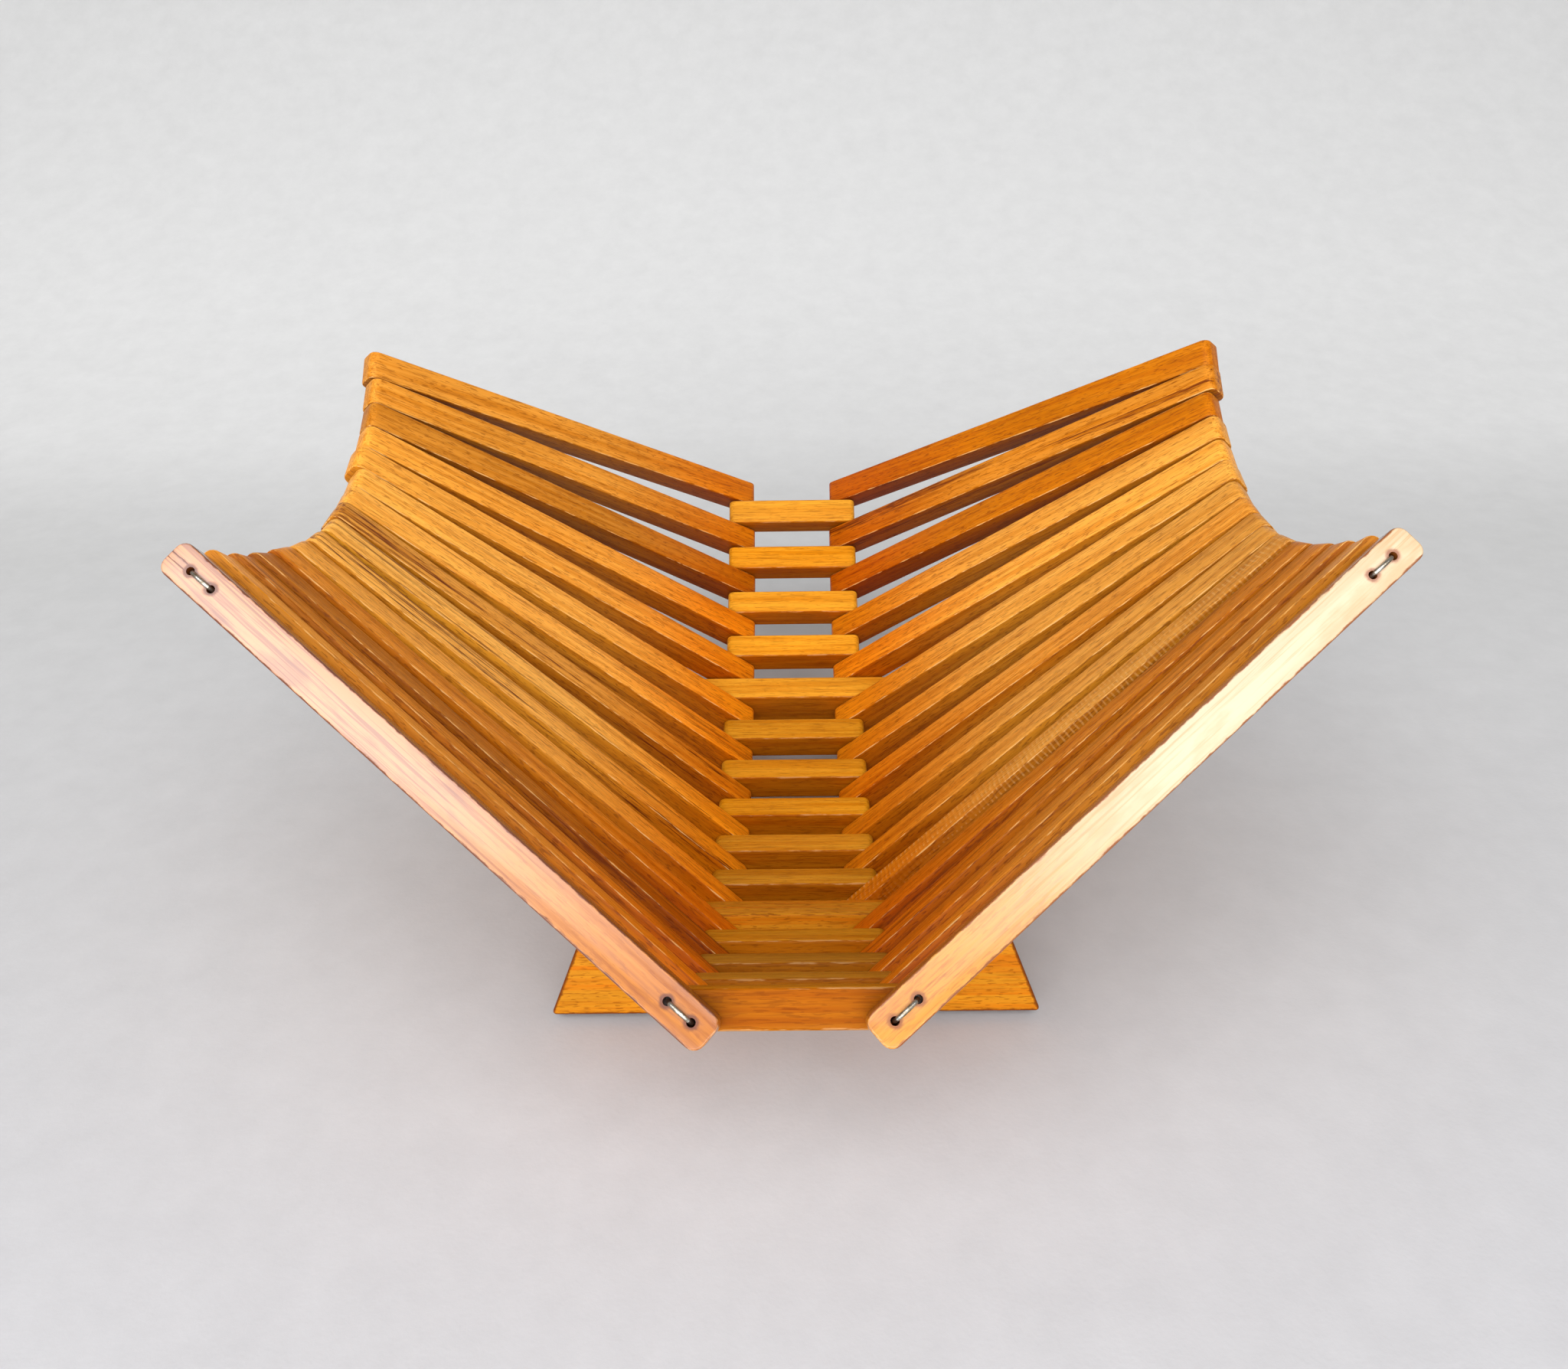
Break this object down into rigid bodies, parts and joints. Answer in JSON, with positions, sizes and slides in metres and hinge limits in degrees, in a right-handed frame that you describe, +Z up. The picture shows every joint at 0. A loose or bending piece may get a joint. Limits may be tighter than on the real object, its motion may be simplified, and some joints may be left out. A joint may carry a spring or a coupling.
{
  "type": "collapsible wooden basket",
  "caption": "Collapsible basket of wooden slats strung on wires: its wings open in a V from a curved spine that stands on foot boards, and fold up together.",
  "frame": {"origin": "on the table, under the middle of the basket", "axes": "+X to the basket's right, -Y its front, along the spine, +Z up"},
  "size_m": [0.2837, 0.3042, 0.1522],
  "materials": {
    "slat_wood": "clear lacquer, honey brown",
    "cross_wood": "clear lacquer, honey brown",
    "foot_wood": "clear lacquer, honey brown",
    "wire_steel": "dull grey drawn wire"
  },
  "bodies": {
    "spine_middle": {"cross_slat_08": "cross_wood", "hinge_wire_left": "wire_steel", "hinge_wire_right": "wire_steel", "tip_wire_left": "wire_steel", "tip_wire_right": "wire_steel"},
    "slat_left_01": {"slat_left_01": "slat_wood"},
    "slat_left_02": {"slat_left_02": "slat_wood"},
    "slat_left_03": {"slat_left_03": "slat_wood"},
    "slat_left_04": {"slat_left_04": "slat_wood"},
    "slat_left_05": {"slat_left_05": "slat_wood"},
    "slat_left_06": {"slat_left_06": "slat_wood"},
    "slat_left_07": {"slat_left_07": "slat_wood"},
    "slat_left_08": {"slat_left_08": "slat_wood"},
    "slat_left_09": {"slat_left_09": "slat_wood"},
    "slat_left_10": {"slat_left_10": "slat_wood"},
    "slat_left_11": {"slat_left_11": "slat_wood"},
    "slat_left_12": {"slat_left_12": "slat_wood"},
    "slat_left_13": {"slat_left_13": "slat_wood"},
    "slat_left_14": {"slat_left_14": "slat_wood"},
    "slat_left_15": {"slat_left_15": "slat_wood"},
    "slat_left_16": {"slat_left_16": "slat_wood"},
    "slat_right_01": {"slat_right_01": "slat_wood"},
    "slat_right_02": {"slat_right_02": "slat_wood"},
    "slat_right_03": {"slat_right_03": "slat_wood"},
    "slat_right_04": {"slat_right_04": "slat_wood"},
    "slat_right_05": {"slat_right_05": "slat_wood"},
    "slat_right_06": {"slat_right_06": "slat_wood"},
    "slat_right_07": {"slat_right_07": "slat_wood"},
    "slat_right_08": {"slat_right_08": "slat_wood"},
    "slat_right_09": {"slat_right_09": "slat_wood"},
    "slat_right_10": {"slat_right_10": "slat_wood"},
    "slat_right_11": {"slat_right_11": "slat_wood"},
    "slat_right_12": {"slat_right_12": "slat_wood"},
    "slat_right_13": {"slat_right_13": "slat_wood"},
    "slat_right_14": {"slat_right_14": "slat_wood"},
    "slat_right_15": {"slat_right_15": "slat_wood"},
    "slat_right_16": {"slat_right_16": "slat_wood"},
    "cross_slat_01": {"cross_slat_01": "cross_wood"},
    "cross_slat_02": {"cross_slat_02": "cross_wood"},
    "cross_slat_03": {"cross_slat_03": "cross_wood"},
    "cross_slat_04": {"cross_slat_04": "cross_wood"},
    "foot_board_front": {"foot_board_front": "foot_wood"},
    "cross_slat_06": {"cross_slat_06": "cross_wood"},
    "cross_slat_07": {"cross_slat_07": "cross_wood"},
    "cross_slat_09": {"cross_slat_09": "cross_wood"},
    "cross_slat_10": {"cross_slat_10": "cross_wood"},
    "foot_board_rear": {"foot_board_rear": "foot_wood"},
    "cross_slat_12": {"cross_slat_12": "cross_wood"},
    "cross_slat_13": {"cross_slat_13": "cross_wood"},
    "cross_slat_14": {"cross_slat_14": "cross_wood"},
    "cross_slat_15": {"cross_slat_15": "cross_wood"}
  },
  "joints": [
    {"name": "flex_cross_slat_01", "type": "hinge", "parent": "cross_slat_02", "child": "cross_slat_01", "pos_m": [0, -0.12871, 0.05806], "axis": [1, 0, 0], "range_deg": [0, 2.93]},
    {"name": "flex_cross_slat_02", "type": "hinge", "parent": "cross_slat_03", "child": "cross_slat_02", "pos_m": [0, -0.11119, 0.046], "axis": [1, 0, 0], "range_deg": [0, 2.93]},
    {"name": "flex_cross_slat_03", "type": "hinge", "parent": "cross_slat_04", "child": "cross_slat_03", "pos_m": [0, -0.09254, 0.03574], "axis": [1, 0, 0], "range_deg": [0, 2.93]},
    {"name": "flex_cross_slat_04", "type": "hinge", "parent": "foot_board_front", "child": "cross_slat_04", "pos_m": [0, -0.07297, 0.02742], "axis": [1, 0, 0], "range_deg": [0, 2.93]},
    {"name": "flex_foot_board_front", "type": "hinge", "parent": "cross_slat_06", "child": "foot_board_front", "pos_m": [0, -0.05265, 0.0211], "axis": [1, 0, 0], "range_deg": [0, 2.93]},
    {"name": "flex_cross_slat_06", "type": "hinge", "parent": "cross_slat_07", "child": "cross_slat_06", "pos_m": [0, -0.0318, 0.01685], "axis": [1, 0, 0], "range_deg": [0, 2.93]},
    {"name": "flex_cross_slat_07", "type": "hinge", "parent": "spine_middle", "child": "cross_slat_07", "pos_m": [0, -0.01064, 0.01471], "axis": [1, 0, 0], "range_deg": [0, 2.93]},
    {"name": "flex_cross_slat_09", "type": "hinge", "parent": "spine_middle", "child": "cross_slat_09", "pos_m": [0, 0.01064, 0.01471], "axis": [-1, 0, 0], "range_deg": [0, 2.93]},
    {"name": "flex_cross_slat_10", "type": "hinge", "parent": "cross_slat_09", "child": "cross_slat_10", "pos_m": [0, 0.0318, 0.01685], "axis": [-1, 0, 0], "range_deg": [0, 2.93]},
    {"name": "flex_foot_board_rear", "type": "hinge", "parent": "cross_slat_10", "child": "foot_board_rear", "pos_m": [0, 0.05265, 0.0211], "axis": [-1, 0, 0], "range_deg": [0, 2.93]},
    {"name": "flex_cross_slat_12", "type": "hinge", "parent": "foot_board_rear", "child": "cross_slat_12", "pos_m": [0, 0.07297, 0.02742], "axis": [-1, 0, 0], "range_deg": [0, 2.93]},
    {"name": "flex_cross_slat_13", "type": "hinge", "parent": "cross_slat_12", "child": "cross_slat_13", "pos_m": [0, 0.09254, 0.03574], "axis": [-1, 0, 0], "range_deg": [0, 2.93]},
    {"name": "flex_cross_slat_14", "type": "hinge", "parent": "cross_slat_13", "child": "cross_slat_14", "pos_m": [0, 0.11119, 0.046], "axis": [-1, 0, 0], "range_deg": [0, 2.93]},
    {"name": "flex_cross_slat_15", "type": "hinge", "parent": "cross_slat_14", "child": "cross_slat_15", "pos_m": [0, 0.12871, 0.05806], "axis": [-1, 0, 0], "range_deg": [0, 2.93]},
    {"name": "fold_left_01", "type": "hinge", "parent": "cross_slat_01", "child": "slat_left_01", "pos_m": [-0.0211, -0.14493, 0.07183], "axis": [0.0281, 0.7373, -0.6749], "range_deg": [0, 48.87]},
    {"name": "fold_left_02", "type": "hinge", "parent": "cross_slat_02", "child": "slat_left_02", "pos_m": [-0.0211, -0.12871, 0.05806], "axis": [0.0283, 0.8014, -0.5975], "range_deg": [0, 48.55]},
    {"name": "fold_left_03", "type": "hinge", "parent": "cross_slat_03", "child": "slat_left_03", "pos_m": [-0.0211, -0.11119, 0.046], "axis": [0.0285, 0.8573, -0.5141], "range_deg": [0, 48.26]},
    {"name": "fold_left_04", "type": "hinge", "parent": "cross_slat_04", "child": "slat_left_04", "pos_m": [-0.0211, -0.09254, 0.03574], "axis": [0.0287, 0.9045, -0.4254], "range_deg": [0, 47.99]},
    {"name": "fold_left_05", "type": "hinge", "parent": "foot_board_front", "child": "slat_left_05", "pos_m": [-0.0211, -0.07297, 0.02742], "axis": [0.0289, 0.9427, -0.3325], "range_deg": [0, 47.75]},
    {"name": "fold_left_06", "type": "hinge", "parent": "cross_slat_06", "child": "slat_left_06", "pos_m": [-0.0211, -0.05265, 0.0211], "axis": [0.029, 0.9713, -0.2362], "range_deg": [0, 47.54]},
    {"name": "fold_left_07", "type": "hinge", "parent": "cross_slat_07", "child": "slat_left_07", "pos_m": [-0.0211, -0.0318, 0.01685], "axis": [0.0291, 0.9901, -0.1375], "range_deg": [0, 47.37]},
    {"name": "fold_left_08", "type": "hinge", "parent": "spine_middle", "child": "slat_left_08", "pos_m": [-0.0211, -0.01064, 0.01471], "axis": [0.0292, 0.9989, -0.0375], "range_deg": [0, 47.25]},
    {"name": "fold_left_09", "type": "hinge", "parent": "spine_middle", "child": "slat_left_09", "pos_m": [-0.0211, 0.01064, 0.01471], "axis": [-0.0292, 0.9989, 0.0375], "range_deg": [0, 47.25]},
    {"name": "fold_left_10", "type": "hinge", "parent": "cross_slat_09", "child": "slat_left_10", "pos_m": [-0.0211, 0.0318, 0.01685], "axis": [-0.0291, 0.9901, 0.1375], "range_deg": [0, 47.37]},
    {"name": "fold_left_11", "type": "hinge", "parent": "cross_slat_10", "child": "slat_left_11", "pos_m": [-0.0211, 0.05265, 0.0211], "axis": [-0.029, 0.9713, 0.2362], "range_deg": [0, 47.54]},
    {"name": "fold_left_12", "type": "hinge", "parent": "foot_board_rear", "child": "slat_left_12", "pos_m": [-0.0211, 0.07297, 0.02742], "axis": [-0.0289, 0.9427, 0.3325], "range_deg": [0, 47.75]},
    {"name": "fold_left_13", "type": "hinge", "parent": "cross_slat_12", "child": "slat_left_13", "pos_m": [-0.0211, 0.09254, 0.03574], "axis": [-0.0287, 0.9045, 0.4254], "range_deg": [0, 47.99]},
    {"name": "fold_left_14", "type": "hinge", "parent": "cross_slat_13", "child": "slat_left_14", "pos_m": [-0.0211, 0.11119, 0.046], "axis": [-0.0285, 0.8573, 0.5141], "range_deg": [0, 48.26]},
    {"name": "fold_left_15", "type": "hinge", "parent": "cross_slat_14", "child": "slat_left_15", "pos_m": [-0.0211, 0.12871, 0.05806], "axis": [-0.0283, 0.8014, 0.5975], "range_deg": [0, 48.55]},
    {"name": "fold_left_16", "type": "hinge", "parent": "cross_slat_15", "child": "slat_left_16", "pos_m": [-0.0211, 0.14493, 0.07183], "axis": [-0.0281, 0.7373, 0.6749], "range_deg": [0, 48.87]},
    {"name": "fold_right_01", "type": "hinge", "parent": "cross_slat_01", "child": "slat_right_01", "pos_m": [0.0211, -0.14493, 0.07183], "axis": [0.0281, -0.7373, 0.6749], "range_deg": [0, 48.87]},
    {"name": "fold_right_02", "type": "hinge", "parent": "cross_slat_02", "child": "slat_right_02", "pos_m": [0.0211, -0.12871, 0.05806], "axis": [0.0283, -0.8014, 0.5975], "range_deg": [0, 48.55]},
    {"name": "fold_right_03", "type": "hinge", "parent": "cross_slat_03", "child": "slat_right_03", "pos_m": [0.0211, -0.11119, 0.046], "axis": [0.0285, -0.8573, 0.5141], "range_deg": [0, 48.26]},
    {"name": "fold_right_04", "type": "hinge", "parent": "cross_slat_04", "child": "slat_right_04", "pos_m": [0.0211, -0.09254, 0.03574], "axis": [0.0287, -0.9045, 0.4254], "range_deg": [0, 47.99]},
    {"name": "fold_right_05", "type": "hinge", "parent": "foot_board_front", "child": "slat_right_05", "pos_m": [0.0211, -0.07297, 0.02742], "axis": [0.0289, -0.9427, 0.3325], "range_deg": [0, 47.75]},
    {"name": "fold_right_06", "type": "hinge", "parent": "cross_slat_06", "child": "slat_right_06", "pos_m": [0.0211, -0.05265, 0.0211], "axis": [0.029, -0.9713, 0.2362], "range_deg": [0, 47.54]},
    {"name": "fold_right_07", "type": "hinge", "parent": "cross_slat_07", "child": "slat_right_07", "pos_m": [0.0211, -0.0318, 0.01685], "axis": [0.0291, -0.9901, 0.1375], "range_deg": [0, 47.37]},
    {"name": "fold_right_08", "type": "hinge", "parent": "spine_middle", "child": "slat_right_08", "pos_m": [0.0211, -0.01064, 0.01471], "axis": [0.0292, -0.9989, 0.0375], "range_deg": [0, 47.25], "deforming": ["hinge_wire_left", "hinge_wire_right", "tip_wire_left", "tip_wire_right"]},
    {"name": "fold_right_09", "type": "hinge", "parent": "spine_middle", "child": "slat_right_09", "pos_m": [0.0211, 0.01064, 0.01471], "axis": [-0.0292, -0.9989, -0.0375], "range_deg": [0, 47.25]},
    {"name": "fold_right_10", "type": "hinge", "parent": "cross_slat_09", "child": "slat_right_10", "pos_m": [0.0211, 0.0318, 0.01685], "axis": [-0.0291, -0.9901, -0.1375], "range_deg": [0, 47.37]},
    {"name": "fold_right_11", "type": "hinge", "parent": "cross_slat_10", "child": "slat_right_11", "pos_m": [0.0211, 0.05265, 0.0211], "axis": [-0.029, -0.9713, -0.2362], "range_deg": [0, 47.54]},
    {"name": "fold_right_12", "type": "hinge", "parent": "foot_board_rear", "child": "slat_right_12", "pos_m": [0.0211, 0.07297, 0.02742], "axis": [-0.0289, -0.9427, -0.3325], "range_deg": [0, 47.75]},
    {"name": "fold_right_13", "type": "hinge", "parent": "cross_slat_12", "child": "slat_right_13", "pos_m": [0.0211, 0.09254, 0.03574], "axis": [-0.0287, -0.9045, -0.4254], "range_deg": [0, 47.99]},
    {"name": "fold_right_14", "type": "hinge", "parent": "cross_slat_13", "child": "slat_right_14", "pos_m": [0.0211, 0.11119, 0.046], "axis": [-0.0285, -0.8573, -0.5141], "range_deg": [0, 48.26]},
    {"name": "fold_right_15", "type": "hinge", "parent": "cross_slat_14", "child": "slat_right_15", "pos_m": [0.0211, 0.12871, 0.05806], "axis": [-0.0283, -0.8014, -0.5975], "range_deg": [0, 48.55]},
    {"name": "fold_right_16", "type": "hinge", "parent": "cross_slat_15", "child": "slat_right_16", "pos_m": [0.0211, 0.14493, 0.07183], "axis": [-0.0281, -0.7373, -0.6749], "range_deg": [0, 48.87]}
  ],
  "couplings": [
    {"joint": "fold_left_01", "follows": "fold_right_08", "ratio": 1.0343},
    {"joint": "fold_left_02", "follows": "fold_right_08", "ratio": 1.0276},
    {"joint": "fold_left_03", "follows": "fold_right_08", "ratio": 1.0213},
    {"joint": "fold_left_04", "follows": "fold_right_08", "ratio": 1.0156},
    {"joint": "fold_left_05", "follows": "fold_right_08", "ratio": 1.0105},
    {"joint": "fold_left_06", "follows": "fold_right_08", "ratio": 1.0061},
    {"joint": "fold_left_07", "follows": "fold_right_08", "ratio": 1.0025},
    {"joint": "fold_left_08", "follows": "fold_right_08", "ratio": 1},
    {"joint": "fold_left_09", "follows": "fold_right_08", "ratio": 1},
    {"joint": "fold_left_10", "follows": "fold_right_08", "ratio": 1.0025},
    {"joint": "fold_left_11", "follows": "fold_right_08", "ratio": 1.0061},
    {"joint": "fold_left_12", "follows": "fold_right_08", "ratio": 1.0105},
    {"joint": "fold_left_13", "follows": "fold_right_08", "ratio": 1.0156},
    {"joint": "fold_left_14", "follows": "fold_right_08", "ratio": 1.0213},
    {"joint": "fold_left_15", "follows": "fold_right_08", "ratio": 1.0276},
    {"joint": "fold_left_16", "follows": "fold_right_08", "ratio": 1.0343},
    {"joint": "fold_right_01", "follows": "fold_right_08", "ratio": 1.0343},
    {"joint": "fold_right_02", "follows": "fold_right_08", "ratio": 1.0276},
    {"joint": "fold_right_03", "follows": "fold_right_08", "ratio": 1.0213},
    {"joint": "fold_right_04", "follows": "fold_right_08", "ratio": 1.0156},
    {"joint": "fold_right_05", "follows": "fold_right_08", "ratio": 1.0105},
    {"joint": "fold_right_06", "follows": "fold_right_08", "ratio": 1.0061},
    {"joint": "fold_right_07", "follows": "fold_right_08", "ratio": 1.0025},
    {"joint": "fold_right_09", "follows": "fold_right_08", "ratio": 1},
    {"joint": "fold_right_10", "follows": "fold_right_08", "ratio": 1.0025},
    {"joint": "fold_right_11", "follows": "fold_right_08", "ratio": 1.0061},
    {"joint": "fold_right_12", "follows": "fold_right_08", "ratio": 1.0105},
    {"joint": "fold_right_13", "follows": "fold_right_08", "ratio": 1.0156},
    {"joint": "fold_right_14", "follows": "fold_right_08", "ratio": 1.0213},
    {"joint": "fold_right_15", "follows": "fold_right_08", "ratio": 1.0276},
    {"joint": "fold_right_16", "follows": "fold_right_08", "ratio": 1.0343},
    {"joint": "flex_cross_slat_01", "follows": "fold_right_08", "ratio": 0.061972},
    {"joint": "flex_cross_slat_02", "follows": "fold_right_08", "ratio": 0.061972},
    {"joint": "flex_cross_slat_03", "follows": "fold_right_08", "ratio": 0.061972},
    {"joint": "flex_cross_slat_04", "follows": "fold_right_08", "ratio": 0.061972},
    {"joint": "flex_foot_board_front", "follows": "fold_right_08", "ratio": 0.061972},
    {"joint": "flex_cross_slat_06", "follows": "fold_right_08", "ratio": 0.061972},
    {"joint": "flex_cross_slat_07", "follows": "fold_right_08", "ratio": 0.061972},
    {"joint": "flex_cross_slat_09", "follows": "fold_right_08", "ratio": 0.061972},
    {"joint": "flex_cross_slat_10", "follows": "fold_right_08", "ratio": 0.061972},
    {"joint": "flex_foot_board_rear", "follows": "fold_right_08", "ratio": 0.061972},
    {"joint": "flex_cross_slat_12", "follows": "fold_right_08", "ratio": 0.061972},
    {"joint": "flex_cross_slat_13", "follows": "fold_right_08", "ratio": 0.061972},
    {"joint": "flex_cross_slat_14", "follows": "fold_right_08", "ratio": 0.061972},
    {"joint": "flex_cross_slat_15", "follows": "fold_right_08", "ratio": 0.061972}
  ]
}
